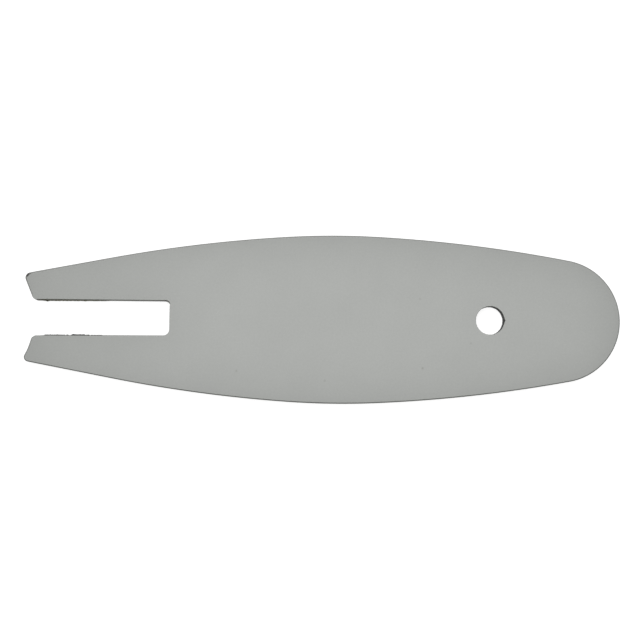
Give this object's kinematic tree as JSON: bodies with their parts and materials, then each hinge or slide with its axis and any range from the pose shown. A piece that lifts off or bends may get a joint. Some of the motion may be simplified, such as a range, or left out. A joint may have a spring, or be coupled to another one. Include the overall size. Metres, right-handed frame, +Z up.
{
  "type": "chainsaw guide bar",
  "caption": "Short flat leaf-shaped guide bar with a grooved rim that carries a saw chain round a solid round nose, a forked tail slot for the bar stud and a nose hole.",
  "frame": {"origin": "on the underside, midway between the tail tips and the nose end and on the bar's long axis", "axes": "+X along the bar towards the nose, +Z up through the plate, +Y across the bar"},
  "size_m": [0.14, 0.0396, 0.0032],
  "materials": {
    "bar_paint": "matte light grey coat over steel, with dark as-cut slot and hole walls"
  },
  "bodies": {
    "root": {"guide_bar": "bar_paint"}
  },
  "joints": []
}
